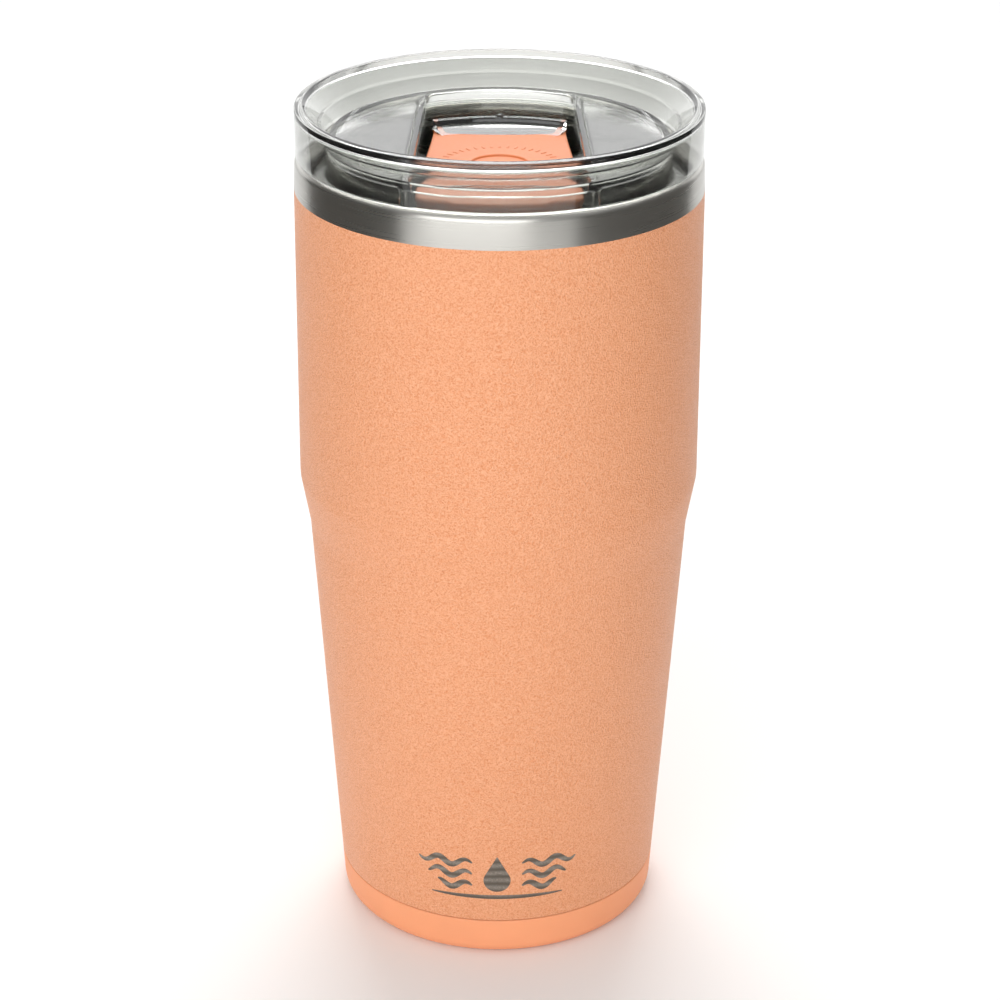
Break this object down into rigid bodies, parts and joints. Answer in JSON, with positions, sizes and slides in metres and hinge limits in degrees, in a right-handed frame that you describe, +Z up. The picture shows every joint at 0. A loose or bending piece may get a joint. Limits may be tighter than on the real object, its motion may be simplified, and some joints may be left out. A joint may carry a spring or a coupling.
{
  "type": "insulated tumbler",
  "caption": "Double-walled steel drinking tumbler with a stepped taper, a soft boot and a clear press-in lid whose flip lever closes the sip slot and straw hole.",
  "frame": {"origin": "centre of the flat face that the tumbler stands on", "axes": "+Z up along the tumbler's axis, -Y towards the front with the etched mark, where the lever's hinge end is, +X to the right seen from the front"},
  "size_m": [0.0844, 0.0844, 0.1812],
  "materials": {
    "powder_coat": "wrinkled powder coat",
    "bare_steel": "brushed round the axis",
    "clear_plastic": "clear moulded",
    "lever_plastic": "satin moulded",
    "boot_silicone": "smooth satin",
    "seal_silicone": "translucent matt",
    "solder_glass": "dark fused glass",
    "getter_metal": "sintered matt"
  },
  "bodies": {
    "cup": {"outer_shell": "powder_coat", "inner_vessel": "bare_steel", "base_plate": "bare_steel", "vacuum_seal_bead": "solder_glass", "getter_tablet": "getter_metal", "getter_clip": "bare_steel", "base_boot": "boot_silicone"},
    "lid": {"lid_rim": "clear_plastic", "lid_deck": "clear_plastic", "lid_gasket": "seal_silicone", "hinge_pin": "bare_steel"},
    "lever": {"lever_cover": "lever_plastic", "lever_carrier": "clear_plastic", "sip_seal": "seal_silicone", "straw_seal": "seal_silicone"}
  },
  "joints": [
    {"name": "lid_lift", "type": "slide", "parent": "cup", "child": "lid", "axis": [0, 0, 1], "range_m": [0, 0.08]},
    {"name": "lever_hinge", "type": "hinge", "parent": "lid", "child": "lever", "pos_m": [0, -0.026, 0.1674], "axis": [1, 0, 0], "range_deg": [0, 90]}
  ]
}
